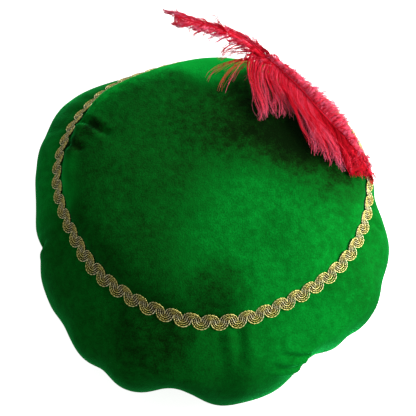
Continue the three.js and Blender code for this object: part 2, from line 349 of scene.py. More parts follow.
def make_crown_side():
    """The puffed velvet side, gathered at the seam, tucked under and turned in at the head opening."""
    panel, bearing, row = sewn_panel("velvet_side", *SIDE_GRID)
    share = unit(row / STANDING)
    r, z, out_r, out_z = pressed(side_profile, SIDE_FOLDS, bearing, share)
    z = np.maximum(z, 0)
    edge = HEAD_RADIUS + WALL
    inwards = unit((row - STANDING) / (FLAT - STANDING))
    r = np.where(row > STANDING, r + (edge - r) * inwards, r)
    z = np.where(row > STANDING, 0, z)
    turn = unit((row - FLAT) / TURNED) * math.pi
    roll = WALL + TURN_ROOM
    r = np.where(row > FLAT, edge - roll * np.sin(turn), r)
    z = np.where(row > FLAT, roll * (1 - np.cos(turn)), z)
    back = unit((row - FLAT - TURNED) / (1 - FLAT - TURNED))
    r = np.where(row > FLAT + TURNED, edge + (HEM_WIDTH - WALL) * back, r)
    points = placed(r, z, bearing)
    loose = unit(share / SIDE_LOOSE.top) * unit((1 - share) / SIDE_LOOSE.foot)
    swell = swells(points, SIDE_SWELLS) * loose
    angle = np.radians(bearing)
    ring = np.stack([np.cos(angle), np.sin(angle), np.zeros_like(angle)], axis=-1)
    gathered = unit(share / GATHER_RISE) * np.exp(-share / GATHER_FADE)
    swell += swells(ring, SIDE_GATHERS) * gathered
    row_in = unit(share / SIDE_CREASED.start)
    row_out = unit((SIDE_CREASED.end - share) / SIDE_CREASED.fade)
    swell -= crease_depth(points, side_profile, SIDE_FOLDS, SIDE_CREASES) * row_in * row_out
    swell = np.where(row < STANDING, swell, 0)
    z = np.where(row < STANDING, np.maximum(z + swell * out_z, 0), z)
    return close_and_thicken(panel, placed(r + swell * out_r, z, bearing))


# Copies of a model bent along paths

def frames(paths, closed):
    """The two ways across each path, level and upright, at each of its points."""
    tangent = np.gradient(paths, axis=1)
    if closed:
        tangent[:, 0] = tangent[:, -1] = paths[:, 1] - paths[:, -2]
    tangent /= np.linalg.norm(tangent, axis=2, keepdims=True)
    level = np.cross(tangent, (0, 0, 1))
    level /= np.maximum(np.linalg.norm(level, axis=2, keepdims=True), 1e-6)
    return level, np.cross(level, tangent)


def bent_copies(model, paths, widths, closed=False):
    """Copies of an upright model, each bent along a path, as wide as given along it: points, faces,
    share along the path and number of the copy."""
    base = coordinates(model.data)
    share = base[:, 2] / base[:, 2].max()
    copies, steps = paths.shape[:2]
    place = unit(share) * (steps - 1)
    low = np.minimum(place.astype(int), steps - 2)
    t = (place - low)[None, :, None]
    level, upright = (way[:, low] * (1 - t) + way[:, low + 1] * t for way in frames(paths, closed))
    middle = paths[:, low] * (1 - t) + paths[:, low + 1] * t
    width = np.stack([np.interp(share, np.linspace(0, 1, len(row)), row) for row in widths])[:, :, None]
    points = middle + width * (base[None, :, :1] * level + base[None, :, 1:2] * upright)
    faces = []
    shift = len(base) * np.arange(copies)[:, None, None]
    for size in (3, 4):
        chosen = np.array([f.vertices[:] for f in model.data.polygons if len(f.vertices) == size])
        if len(chosen):
            faces += (chosen[None] + shift).reshape(-1, size).tolist()
    return points.reshape(-1, 3), faces, np.tile(share, copies), np.repeat(np.arange(copies), len(base))


def linked(name, data):
    """A new object in the scene."""
    made = bpy.data.objects.new(name, data)
    bpy.context.collection.objects.link(made)
    return made


def piece_from(name, points, faces):
    """A piece from bent copies of a model."""
    mesh = bpy.data.meshes.new(name)
    mesh.from_pydata(points.tolist(), [], faces)
    mesh.update()
    return linked(name, mesh)


def write_map(piece, name, u, v):
    """A UV map that gives each point's two values."""
    mesh = piece.data
    layer = mesh.uv_layers.new(name=name)
    corners = np.empty(len(mesh.loops), dtype=np.int32)
    mesh.loops.foreach_get("vertex_index", corners)
    layer.data.foreach_set("uv", np.stack([u[corners], v[corners]], axis=-1).astype(np.float32).ravel())


def discard(model):
    bpy.data.objects.remove(model, do_unlink=True)


def tube_model(name, sides, cuts, waist=1, closed_ends=True):
    """An upright tube, one unit long, cut across and drawn in at its ends."""
    tube = fresh(bpy.ops.mesh.primitive_cylinder_add, name, vertices=sides, radius=1, depth=1,
                 location=(0, 0, 0.5), end_fill_type="NGON" if closed_ends else "NOTHING")
    mode("EDIT")
    bpy.ops.mesh.select_mode(type="EDGE")
    bpy.ops.mesh.select_all(action="DESELECT")
    mode("OBJECT")
    for edge in tube.data.edges:
        a, b = (tube.data.vertices[v].co for v in edge.vertices)
        edge.select = abs(a.z - b.z) > 0.5
    mode("EDIT")
    bpy.ops.mesh.subdivide(number_cuts=cuts)
    mode("OBJECT")
    for vertex in tube.data.vertices:
        if min(vertex.co.z, 1 - vertex.co.z) < 0.01:
            vertex.co.x *= waist
            vertex.co.y *= waist
    return tube


# Braid: wrapped cords that run side by side in round waves over the seam, on thin ground threads coloured
# near black as painted shade between the cords
BRAID = Row(repeats=58, swing=3.7, rounding=0.72, packing=0.05, hollow=2.2, search=20, smoothing=4,
            press_behind=0.5, rise_left=2.6)
BRAID_REST = Row(crown=0.86, side=0.1)
BRAID_DROPS = Row(bearing=(1, 9, 40, 60, 128, 147), drop=(0, 5.5, 6.2, 6.3, 6.6, 0))
BRAID_SLIP = Row(bearing=221, drop=2.4, width=13)
CORD = Row(offsets=(-3.2, -1.6, 0, 1.6, 3.2), tones=(1.3, 0.75, 1.3, 0.75, 1.3), radius=0.46, beads=16,
           stagger=0.37, waver=0.15)
GROUND = Row(offsets=(-2.4, -0.8, 0.8, 2.4), radius=0.4, depth=1.1)


def seam_frame(bearing):
    """Seam point, way across the braid, way out of the velvet and half opening of the seam's valley."""
    r, z = crown_profile(bearing, np.ones_like(bearing))
    up_r, up_z = crown_profile(bearing, np.full_like(bearing, BRAID_REST.crown))
    up_r = up_r - LEFT_SINK.deep * at_left(bearing)
    low_r, low_z = side_profile(bearing, np.full_like(bearing, BRAID_REST.side))
    crown = np.stack([up_r - r, up_z - z])
    side = np.stack([low_r - r, low_z - z])
    crown, side = crown / np.hypot(*crown), side / np.hypot(*side)
    out, across = crown + side, crown - side
    return r, z, across / np.hypot(*across), out / np.hypot(*out), np.hypot(*out) / 2


def braid_drop(bearing):
    """How far the braid lies down the side, behind the crown and where it was sewn unevenly."""
    bearing = np.mod(bearing, 360)
    drop = np.interp(bearing, BRAID_DROPS.bearing, BRAID_DROPS.drop)
    slip = BRAID_SLIP.drop * np.exp(-((bearing - BRAID_SLIP.bearing) / BRAID_SLIP.width) ** 2)
    return drop + slip - BRAID.rise_left * at_left(bearing)


def smoothed(values, reach):
    """A closed row of values, each averaged with its neighbours."""
    ring = np.concatenate([values[-reach - 1:-1], values, values[1:reach + 1]])
    return np.convolve(ring, np.ones(2 * reach + 1) / (2 * reach + 1), "valid")


def standing_height(velvet, ground, above):
    """How far the velvet stands over each ground point, towards the point above it."""
    heights = []
    for low, high in zip(ground, above):
        line = Vector(low - high)
        distance = velvet.ray_cast(Vector(high), line.normalized(), line.length)[3]
        heights.append((line.length - distance) / MM if distance is not None else 0)
    return np.array(heights)


def braid_path(velvet, turn, offset, lower):
    """Places of one cord, with turns counted in waves from bearing 0."""
    wave = 2 * math.pi * turn
    length = 2 * math.pi * SEAM_RADIUS / BRAID.repeats
    run_ahead = length * (1 - BRAID.rounding * np.cos(2 * wave))
    run_across = 2 * math.pi * BRAID.swing * np.cos(wave)
    run = np.hypot(run_ahead, run_across)
    spread = offset * (1 - BRAID.packing * np.cos(wave) ** 2)
    ahead = length * (turn - BRAID.rounding / (4 * math.pi) * np.sin(2 * wave)) - spread * run_across / run
    across = BRAID.swing * np.sin(wave) + spread * run_ahead / run
    bearing = 360 * ahead / (length * BRAID.repeats)
    across = across - braid_drop(bearing)
    r, z, width, out, opening = seam_frame(bearing)
    reach = across * np.sqrt(1 - opening ** 2)
    ground_r, ground_z = r + reach * width[0], z + reach * width[1]
    ground = placed(ground_r, ground_z, bearing)
    above = placed(ground_r + BRAID.search * out[0], ground_z + BRAID.search * out[1], bearing)
    lift = np.sqrt((across * opening) ** 2 + BRAID.hollow ** 2)
    sunk = np.maximum(standing_height(velvet, ground, above) - lift, 0)
    lift = lift + smoothed(sunk, BRAID.smoothing) - BRAID.press_behind * behind(bearing)
    lift = lift + CORD.radius - lower + CORD.waver * np.sin(2 * wave + offset)
    return placed(ground_r + lift * out[0], ground_z + lift * out[1], bearing)


def laid_cord(velvet, model, beads, offset, radius, lower):
    """One cord, a row of copies of a bead, laid in waves right round the seam."""
    alone(model)
    bpy.ops.object.duplicate()
    row = bpy.context.object
    line = row.modifiers.new("row", "ARRAY")
    line.count = beads * BRAID.repeats
    line.use_relative_offset = False
    line.use_constant_offset = True
    line.constant_offset_displace = (0, 0, 1)
    line.use_merge_vertices = True
    line.merge_threshold = 0.001
    bpy.ops.object.modifier_apply(modifier=line.name)
    turn = np.linspace(0, BRAID.repeats, 2 * beads * BRAID.repeats + 1) + CORD.stagger * offset / beads
    path = braid_path(velvet, turn, offset, lower)
    laid = bent_copies(row, path[None], np.full((1, 2), radius * MM), closed=True)
    discard(row)
    return laid[:3]


def make_braid(velvet):
    """The wavy gold braid round the seam."""
    bead = tube_model("bead", sides=6, cuts=1, waist=0.6, closed_ends=False)
    thread = tube_model("thread", sides=4, cuts=1, closed_ends=False)
    cords = [(bead, CORD.beads, offset, CORD.radius, 0) for offset in CORD.offsets]
    cords += [(thread, CORD.beads // 2, offset, GROUND.radius, GROUND.depth) for offset in GROUND.offsets]
    # The ground threads get tone 0, near black: painted shade in the gaps between the cords
    tones = CORD.tones + (0.0,) * len(GROUND.offsets)
    points, faces, along, kind = [], [], [], []
    for cord, tone in zip(cords, tones):
        places, joined, share = laid_cord(velvet, *cord)
        start = sum(len(p) for p in points)
        points.append(places)
        faces += [[start + v for v in face] for face in joined]
        along.append(share * CORD.beads * BRAID.repeats)
        kind.append(np.full(len(places), tone))
    discard(bead)
    discard(thread)
    braid = piece_from("braid_cords", np.concatenate(points), faces)
    write_map(braid, "thread", np.concatenate(along), np.concatenate(kind))
    edit_all(braid)
    bpy.ops.mesh.remove_doubles(threshold=1e-5)
    bpy.ops.mesh.normals_make_consistent(inside=False)
    return smooth_shaded(braid)


# Plume, in millimetres from the crown's axis: the shaft's way from its foot on the braid to its tip
SHAFT_ROUTE = np.array([
    (126, -1, 95), (121.5, 4, 99.5), (114, 13, 104.5), (106, 22.5, 109), (96, 34, 112.5),
    (83, 49.5, 116), (72.5, 64, 118), (61.5, 77, 119.5), (48, 91, 122), (40, 98, 124),
    (31, 106, 126.5), (22, 112, 128.5), (8, 116, 132), (-15, 120, 137), (-38, 125.5, 141),
])
SHAFT_RADII = (1.1, 0.75, 0.6, 0.4, 0.3)
SHAFT_RAISE = 0.6
SHAFT_POINTS = 200
SHAFT_TONE = 0.35

# Ends of the barbs round the shaft's foot
FOOT_ENDS = np.array([
    (106, -8, 107), (110, -8.4, 105.5), (114, -7.6, 103.2), (119, -5, 99.8),
    (123.9, -2.4, 96.5), (125.4, 1.1, 98), (125.3, 5, 101), (121.3, 10, 103.5),
])

# Ends of the drooping inner barbs on the velvet, by share along the shaft
INNER_ENDS = {
    "along": (0, 0.04, 0.1, 0.2, 0.29, 0.37, 0.42, 0.46, 0.48, 0.5, 0.52, 0.55, 0.6, 0.66),
    "x": (126, 126, 125, 119, 110, 99, 89, 82, 75, 71, 67, 54, 40, 35),
    "y": (1, 1, 1, -2, -5, -3, 2, 4, 21, 35, 36, 39, 46, 39),
    "leave": (-0.95, -0.95, -0.92, -0.86, -0.78, -0.7, -0.62, -0.56, -0.5, -0.42, -0.35, -0.2, -0.05, 0),
}
# Ends of the curly outer barbs
OUTER_ENDS = {
    "along": (0, 0.06, 0.1, 0.14, 0.17, 0.21, 0.24, 0.28, 0.33, 0.37, 0.43, 0.5, 0.6),
    "x": (126, 121.7, 118, 114.5, 115.5, 110, 110.5, 103, 98, 89, 79, 70, 53),
    "y": (1, 11.7, 15, 18.5, 23.5, 30.5, 37.5, 45, 55, 61.5, 71, 79, 91),
    "z": (95, 102, 104, 105.5, 107, 109.5, 110.5, 112.5, 114, 115.5, 117, 118, 120),
}
# Two tufts that the tip's barbs are combed into, beside the shaft
TIP_TUFTS = (
    Row(aside=-3.8, thick=3.6, end=(-45.5, 128, 141.8)),
    Row(aside=6.8, thick=3.4, end=(-35, 118, 139)),
)
# Short locks that hang from the tip half, and long wisps at the twist: share along the shaft, then the end
HANGING = (
    (0.66, 14, 101, 121), (0.68, 6, 99, 119), (0.7, 4, 100, 119), (0.74, 1, 106, 127),
    (0.77, -6, 108, 128), (0.8, -10, 111, 130), (0.84, -18, 110, 130), (0.88, -22, 113, 132),
    (0.72, 9, 104, 124), (0.76, -1, 126, 137),
)
WISPS = (
    (0.6, -6, 78, 115), (0.62, 3, 67, 116), (0.63, 9, 66, 116), (0.61, 15, 75, 115),
    (0.6, 22, 89, 113), (0.62, 6, 98, 118), (0.63, 8, 96, 118), (0.64, 18, 96, 118),
    (0.59, 26, 80, 114), (0.6, 0, 84, 115), (0.58, 33, 60, 115), (0.59, 30, 70, 115),
    (0.61, 12, 88, 114), (0.64, 4, 101, 120), (0.66, 24, 95, 117),
)

# Vanes: span is on the shaft, reach and scatter are of locks and then of barbs, leave is along the shaft,
# inwards and up, clear is over the velvet, coil is radius and turns, tones are darkest, palest, barb's own
INNER_VANE = Row(
    span=(0.0, 0.64), reach=(0.94, 1.12), own_reach=(0.7, 1.0), evenness=0.7, scatter=(1.8, 0.4), combed=0.9,
    hang=14, arrive=(0.0, -0.96, -0.2), arch=(2.0, 1.0), clear=(0.8, 4.5), curl=2.0, coil=(0.5, 2.4),
    tones=(0.25, 0.8, 0.2), darker=0.7, dark_to=0.36, fade=0.1,
)
FOOT_TUFT = Row(
    span=(0.03, 0.26), own_reach=(0.8, 1.0), scatter=0.5, leave=(-0.9, 0, 0.15), arch=(1.5, 0.8), clear=0.8,
    curl=0.3, coil=(0.2, 2), tones=(-0.6, -0.4, 0.05),
)
OUTER_VANE = Row(
    span=(0.02, 0.6), reach=(0.45, 1.12), own_reach=(0.8, 1.0), scatter=0.8, leave=(-0.2, -0.8, 0.5),
    arrive=(0.3, -0.3, -0.4), stray=0.6, arch=(1.5, 1.0), clear=(0.8, 3.0), curl=1.2, coil=(1.2, 1.5),
    tones=(0.5, 1.35, 0.12),
)
TIP_VANE = Row(
    span=(0.55, 0.97), reach=(0.025, 0.06), own_reach=(0.8, 1.1), scatter=(0.8, 0.5), aside=(0.5, 1.25),
    leave=(0.5, 0.8, 0.3), end_from=0.9, end_run=0.12, short=(-1, 4), rounding=5, arch=None, clear=1,
    curl=0.9, coil=(0.4, 1.6), tones=(-0.1, 1.15, 0.2), darker=0.6, dark_to=0.66, fade=0.06,
)
LOOSE_BARBS = {
    "stray": 0.006, "leave": (0.45, 0.8, 0), "arrive": (-0.35, -0.7, -0.5), "arch": (0.5, 0.5), "clear": 1.2,
    "coil": (0.4, 2), "tones": (0.1, 0.8, 0.12),
}

# All barbs: sway, coil, hooked end and form
SWAY = Row(stray=0.5, beats=(0.7, 1.5), size=(0.55, 0.3))
COIL = Row(stray=0.7, growth=2.5)
HOOK = Row(start=0.7, own=0.5, bow=0.6, rise=0.6)
BARB = Row(steps=18, pull_out=0.42, pull_in=0.36, taper=0.55, widths=(1.0, 0.9, 0.8), uneven=(0.85, 1.2))
BARBULE = Row(start=0.1, span=0.88, length=0.7, growth=0.5, uneven=(0.75, 1.2), turn=2.4, stray=0.5,
              lean=(0.02, 0.05), thick=0.004)

# The grid of places where the hat's height is felt for
SKIN = Row(step=2.0, x=(-80, 161), y=(-40, 161), top=0.3)
rng = np.random.default_rng(12)


def smooth_route(points, count):
    """Evenly spaced points on a smooth curve through a route."""
    padded = np.vstack([2 * points[0] - points[1], points, 2 * points[-1] - points[-2]])
    curve = []
    for i in range(1, len(padded) - 2):
        curve += [through(*padded[i - 1:i + 3], t) for t in np.linspace(0, 1, 40, endpoint=False)]
    curve = np.array(curve + [points[-1]])
    run = np.concatenate([[0], np.cumsum(np.linalg.norm(np.diff(curve, axis=0), axis=1))])
    even = np.linspace(0, run[-1], count)
    return np.stack([np.interp(even, run, column) for column in curve.T], axis=-1)


SHAFT = smooth_route(SHAFT_ROUTE, SHAFT_POINTS)


def on_shaft(along):
    """Places on the shaft, its direction there and the level way to its inner side."""
    place = unit(along) * (len(SHAFT) - 1)
    low = np.minimum(place.astype(int), len(SHAFT) - 2)
    t = (place - low)[:, None]
    point = SHAFT[low] * (1 - t) + SHAFT[low + 1] * t
    tangent = SHAFT[low + 1] - SHAFT[low]
    tangent = tangent / np.linalg.norm(tangent, axis=1, keepdims=True)
    inner = -np.cross(tangent, (0, 0, 1))
    return point, tangent, inner / np.linalg.norm(inner, axis=1, keepdims=True)


def barb_model(name, barbules, spread):
    """One barb: a slender upright stem with fine barbules all round it."""
    stem = tube_model(name, sides=3, cuts=8)
    for vertex in stem.data.vertices:
        thin = 1 - BARB.taper * vertex.co.z
        vertex.co.x *= thin
        vertex.co.y *= thin
    parts = [stem]
    for i in range(barbules):
        at = BARBULE.start + BARBULE.span * (i + 0.5) / barbules
        length = spread * (BARBULE.length + BARBULE.growth * at) * rng.uniform(*BARBULE.uneven)
        turn = BARBULE.turn * i + rng.uniform(-BARBULE.stray, BARBULE.stray)
        lean = rng.uniform(*BARBULE.lean)
        barbule = fresh(bpy.ops.mesh.primitive_cone_add, "barbule", vertices=3, radius1=0.5, radius2=0,
                        depth=1, location=(0, 0, 0.5))
        flat, tall, out = coordinates(barbule.data).T
        x = length * out * math.cos(turn) - flat * math.sin(turn)
        y = length * out * math.sin(turn) + flat * math.cos(turn)
        z = unit(at + lean * out + BARBULE.thick * tall)
        move_points(barbule.data, np.stack([x, y, z], axis=-1))
        parts.append(barbule)
    alone(stem)
    for part in parts:
        part.select_set(True)
    bpy.ops.object.join()
    return stem


def surface_tree(pieces):
    """A search tree over the surfaces of some pieces."""
    points, faces = [], []
    for piece in pieces:
        start = len(points)
        points.extend(v.co.copy() for v in piece.data.vertices)
        faces.extend([start + v for v in f.vertices] for f in piece.data.polygons)
    return BVHTree.FromPolygons(points, faces)


def skin_map(pieces):
    """Heights of the dressed hat over a grid of places, to lay barbs on."""
    tree = surface_tree(pieces)
    xs, ys = np.arange(*SKIN.x, SKIN.step), np.arange(*SKIN.y, SKIN.step)
    heights = np.zeros((len(xs), len(ys)))
    for i, x in enumerate(xs):
        for j, y in enumerate(ys):
            start = Vector((AXIS.x + MM * x, AXIS.y + MM * y, SKIN.top))
            hit = tree.ray_cast(start, Vector((0, 0, -1)))[0]
            heights[i, j] = hit.z / MM if hit else 0
    return xs, ys, heights


def skin_height(skin, x, y):
    """Height of the hat's upper surface at given places."""
    xs, ys, heights = skin
    fx = np.clip((x - xs[0]) / SKIN.step, 0, len(xs) - 1.001)
    fy = np.clip((y - ys[0]) / SKIN.step, 0, len(ys) - 1.001)
    i, j = fx.astype(int), fy.astype(int)
    u, v = fx - i, fy - j
    return ((1 - u) * (1 - v) * heights[i, j] + u * (1 - v) * heights[i + 1, j]
            + (1 - u) * v * heights[i, j + 1] + u * v * heights[i + 1, j + 1])


def scattered(number, size, lock, own):
    """Random offsets of barbs, each its lock's and its own."""
    return rng.normal(0, lock, (number.max() + 1, size))[number] + rng.normal(0, own, (len(number), size))


def laid_barbs(skin, vane, number, root, leave, end, arrive, clear):
    """Ways and tones of a vane's barbs. Those of one lock sway, coil and curl at their ends together."""
    t = np.linspace(0, 1, BARB.steps)[None]
    count, locks = len(number), number.max() + 1
    length = np.linalg.norm(end - root, axis=1)[:, None]
    first = root + BARB.pull_out * length * leave
    if vane.arch:
        first[:, 2] += rng.normal(*vane.arch, count)
    last = end - BARB.pull_in * length * arrive
    paths = cubic(root[:, None], first[:, None], last[:, None], end[:, None], t[..., None])
    phase = rng.uniform(0, math.tau, (locks, 1))[number] + rng.normal(0, SWAY.stray, (count, 1))
    beat = rng.uniform(*SWAY.beats, (locks, 1))[number]
    wave = np.sin(math.tau * beat * t + phase) * t
    paths = paths + wave[..., None] * scattered(number, 3, *SWAY.size)[:, None] * vane.curl
    level, upright = frames(paths, False)
    radius, turns = vane.coil
    twist = math.tau * turns * t + rng.uniform(0, math.tau, (locks, 1))[number]
    twist = (twist + rng.normal(0, COIL.stray, (count, 1)))[..., None]
    grow = radius * unit(COIL.growth * t)[..., None]
    paths = paths + grow * (np.cos(twist) * level + np.sin(twist) * upright)
    hook = unit((t - HOOK.start) / (1 - HOOK.start))
    amount = np.abs(rng.normal(0, 1, (locks, 1)))[number] + np.abs(rng.normal(0, HOOK.own, (count, 1)))
    amount = amount * vane.curl
    bow = HOOK.bow * np.sin(math.pi * hook)
    paths[..., 0] += amount * (np.cos(phase) * hook ** 2 - np.sin(phase) * bow)
    paths[..., 1] += amount * (np.sin(phase) * hook ** 2 + np.cos(phase) * bow)
    paths[..., 2] += HOOK.rise * amount * hook ** 2
    floor = skin_height(skin, paths[..., 0], paths[..., 1]) + np.reshape(clear, (-1, 1))
    paths[:, 1:, 2] = np.maximum(paths[:, 1:, 2], floor[:, 1:])
    darkest, palest, own = vane.tones
    tones = rng.uniform(darkest, palest, locks)[number] + rng.normal(0, own, count)
    return paths * MM + np.array(AXIS), tones


def in_locks(span, locks, barbs):
    """Barbs in locks: share along the shaft of each and of its lock, the lock's number, and the root."""
    step = (span[1] - span[0]) / locks
    number = np.repeat(np.arange(locks), barbs)
    middle = span[0] + step * (number + 0.5)
    own = middle + rng.uniform(-1.1, 1.1, len(number)) * step
    return unit(own), middle, number, *on_shaft(own)


def reaches(vane, number, power=1):
    """How far barbs reach: their lock's share times their own."""
    lock = rng.uniform(*vane.reach, number.max() + 1)[number]
    return lock * rng.uniform(*vane.own_reach, len(number)) ** power


def table_points(table, along, *columns):
    """Columns of a table of ends, looked up by share along the shaft."""
    return np.stack([np.interp(along, table["along"], table[name]) for name in columns], axis=-1)


def heading(tangent, inner, ways):
    """Directions from their shares along the shaft, to its inner side and up."""
    along, inwards, up = ways
    return along * tangent + inwards * inner + (0, 0, up)


def darkening(vane, own):
    """How much darker a vane's barbs are before a place on the shaft."""
    return vane.darker * unit((vane.dark_to - own) / vane.fade)


def inner_vane(skin, locks, barbs, length):
    """Barbs of the base half, combed back along the shaft and drooping to the front in locks."""
    vane = INNER_VANE
    own, middle, number, root, tangent, inner = in_locks(vane.span, locks, barbs)
    plan = table_points(INNER_ENDS, (1 - vane.combed) * own + vane.combed * middle, "x", "y")
    back = table_points(INNER_ENDS, own, "leave")
    reach = length * reaches(vane, number, vane.evenness)
    plan = root[:, :2] + (plan - root[:, :2]) * reach[:, None] + scattered(number, 2, *vane.scatter)
    clear = rng.uniform(*vane.clear, len(own))
    height = np.maximum(skin_height(skin, plan[:, 0], plan[:, 1]) + clear, root[:, 2] - vane.hang)
    end = np.column_stack([plan, height])
    leave = back * tangent + np.sqrt(1 - back ** 2) * inner
    paths, tones = laid_barbs(skin, vane, number, root, leave, end, vane.arrive, clear)
    return paths, tones - darkening(vane, own)


def base_tuft(skin, locks, barbs):
    """Barbs at the foot, combed down along the shaft into a round end."""
    vane = FOOT_TUFT
    own, _, number, root, tangent, inner = in_locks(vane.span, locks, barbs)
    place = rng.uniform(0, len(FOOT_ENDS) - 1, locks)[number]
    end = np.stack([np.interp(place, np.arange(len(FOOT_ENDS)), column) for column in FOOT_ENDS.T], axis=-1)
    end = end + rng.normal(0, vane.scatter, (len(own), 3))
    end = root + (end - root) * rng.uniform(*vane.own_reach, (len(own), 1))
    leave = heading(tangent, inner, vane.leave)
    return laid_barbs(skin, vane, number, root, leave, end, -tangent, vane.clear)


def outer_vane(skin, locks, barbs):
    """Short barbs on the outer side, in a dense frizz of small curls."""
    vane = OUTER_VANE
    own, _, number, root, tangent, inner = in_locks(vane.span, locks, barbs)
    end = root + (table_points(OUTER_ENDS, own, "x", "y", "z") - root) * reaches(vane, number)[:, None]
    end = end + rng.normal(0, vane.scatter, (locks, 3))[number]
    clear = rng.uniform(*vane.clear, len(own))
    leave = heading(tangent, inner, vane.leave)
    arrive = rng.normal(0, vane.stray, (locks, 3))[number] + vane.arrive
    return laid_barbs(skin, vane, number, root, leave, end, arrive, clear)


def tip_vane(skin, tuft, locks, barbs):
    """Barbs of the tip half, combed along the shaft into a loose tuft with a ragged end."""
    vane = TIP_VANE
    own, middle, number, root, tangent, inner = in_locks(vane.span, locks, barbs)
    ahead = middle + reaches(vane, number)
    guide, _, guide_inner = on_shaft(ahead)
    target = guide + tuft.aside * guide_inner * rng.uniform(*vane.aside, (locks, 1))[number]
    past = unit((ahead - vane.end_from) / vane.end_run)[:, None]
    target = (1 - past) * target + past * tuft.end
    aside = rng.uniform(-1, 1, (locks, 1))[number]
    short = rng.uniform(*vane.short, (locks, 1))[number] + vane.rounding * aside ** 2
    target = target + past * (tuft.thick * aside * guide_inner - short * tangent)
    target = target + scattered(number, 3, *vane.scatter)
    leave = heading(tangent, np.sign(tuft.aside) * inner, vane.leave)
    paths, tones = laid_barbs(skin, vane, number, root, leave, target, tangent, vane.clear)
    return paths, tones - darkening(vane, own)


def loose_barbs(skin, table, barbs, spread, curl):
    """Single barbs or small locks from the shaft to given ends."""
    vane = Row(curl=curl, **LOOSE_BARBS)
    number = np.repeat(np.arange(len(table)), barbs)
    rows = np.array(table, dtype=float)[number]
    root, tangent, inner = on_shaft(rows[:, 0] + rng.normal(0, vane.stray, len(rows)))
    end = rows[:, 1:] + rng.normal(0, spread, (len(rows), 3))
    leave = heading(tangent, inner, vane.leave)
    return laid_barbs(skin, vane, number, root, leave, end, vane.arrive, vane.clear)


def barb_piece(name, model, groups, radius):
    """A piece of many barbs, with a map of the share along each barb and its tone."""
    paths, tones = (np.concatenate(column) for column in zip(*groups))
    widths = np.outer(rng.uniform(*BARB.uneven, len(paths)), BARB.widths) * radius * MM
    points, faces, shares, copies = bent_copies(model, paths, widths)
    piece = piece_from(name, points, faces)
    write_map(piece, "barb", shares, tones[copies])
    return smooth_shaded(piece)


def make_plume(skin):
    """The red ostrich plume: drooping inner barbs, curly outer barbs, combed tip and loose wisps."""
    barb = barb_model("barb", barbules=11, spread=2.8)
    wisp = barb_model("wisp", barbules=8, spread=2.0)
    layers = [inner_vane(skin, locks=58, barbs=15, length=1),
              inner_vane(skin, locks=40, barbs=13, length=0.72), base_tuft(skin, locks=34, barbs=13)]
    inner = barb_piece("plume_inner", barb, layers, radius=0.27)
    outer = barb_piece("plume_outer", wisp, [outer_vane(skin, locks=640, barbs=3)], radius=0.34)
    tufts = [tip_vane(skin, tuft, locks=70, barbs=10) for tuft in TIP_TUFTS]
    tip = barb_piece("plume_tip", barb, tufts, radius=0.27)
    loose = [loose_barbs(skin, HANGING, barbs=8, spread=0.9, curl=0.9),
             loose_barbs(skin, WISPS, barbs=4, spread=1.2, curl=1.2)]
    wisps = barb_piece("plume_wisps", wisp, loose, radius=0.32)
    discard(barb)
    discard(wisp)
    return inner, outer, tip, wisps


def make_shaft():
    """The plume's shaft, a tapered quill between its barbs."""
    model = tube_model("shaft", sides=8, cuts=59)
    route = (SHAFT + (0, 0, SHAFT_RAISE)) * MM + np.array(AXIS)
    points, faces, shares, _ = bent_copies(model, route[None], np.array(SHAFT_RADII)[None] * MM)
    faces += [list(f.vertices) for f in model.data.polygons if len(f.vertices) > 4]
    discard(model)
    shaft = piece_from("plume_shaft", points, faces)
    write_map(shaft, "barb", np.zeros_like(shares), np.full_like(shares, SHAFT_TONE))
    return smooth_shaded(shaft)


# Finishes: colours by tone, from dark to light, and shares that make up each tone
VELVET_TONES = (
    (0.0, (0.002, 0.009, 0.0008)), (0.15, (0.003, 0.028, 0.002)),
    (0.5, (0.001, 0.15, 0.011)), (0.85, (0.001, 0.36, 0.031)),
)
YELLOW_TONES = ((0.16, (0.006, 0.004, 0.001)), (0.42, (0.44, 0.32, 0.03)), (0.72, (0.98, 0.86, 0.25)))
PALE_TONES = ((0.16, (0.006, 0.004, 0.001)), (0.42, (0.34, 0.29, 0.1)), (0.72, (0.98, 0.93, 0.6)))
RED_TONES = (
    (0.0, (0.5, 0.002, 0.012)), (0.2, (0.72, 0.004, 0.018)),
    (0.5, (0.97, 0.018, 0.055)), (1.0, (1.0, 0.19, 0.33)),
)
FLOOR_TONES = ((0.3, (0.93, 0.93, 0.93)), (0.7, (0.96, 0.96, 0.96)))
MOTTLE_DETAIL = {"Coarse": 2, "Middle": 3, "Fine": 2}
MOTTLE_SHARES = {"Tone": (0.35, 0.4, 0.25), "Grain": (0.0, 0.5, 0.5)}
VELVET = Row(grain=0.36, mottle=0.47, wander=0.02)
GOLD_WITH_PAINTED_LIGHT = Row(beads=0.45, grain=1.8, rest=-0.53, ground=0.1)
PLUME = Row(ends=0.4, tone=0.55, mottle=0.3)


def feed(tree, made, values):
    """Links a node's sockets to other sockets or sets them to constants."""
    for name, value in values.items():
        if isinstance(value, bpy.types.NodeSocket):
            tree.links.new(value, made.inputs[name])
        else:
            made.inputs[name].default_value = value


def node(tree, kind, values=None, **settings):
    """A new node with its settings and its sockets' values."""
    made = tree.nodes.new(kind)
    for key, value in settings.items():
        setattr(made, key, value)
    feed(tree, made, values or {})
    return made


def ramp(tree, factor, stops):
    """A colour ramp over a factor, with stops of place and colour."""
    made = node(tree, "ShaderNodeValToRGB", {"Fac": factor})
    elements = made.color_ramp.elements
    while len(elements) < len(stops):
        elements.new(0.5)
    for element, (place, colour) in zip(elements, stops):
        element.position = place
        element.color = (*colour, 1)
    return made.outputs["Color"]


def worked(tree, operation, *values):
    """A Math node over sockets or numbers."""
    return node(tree, "ShaderNodeMath", dict(enumerate(values)), operation=operation).outputs[0]


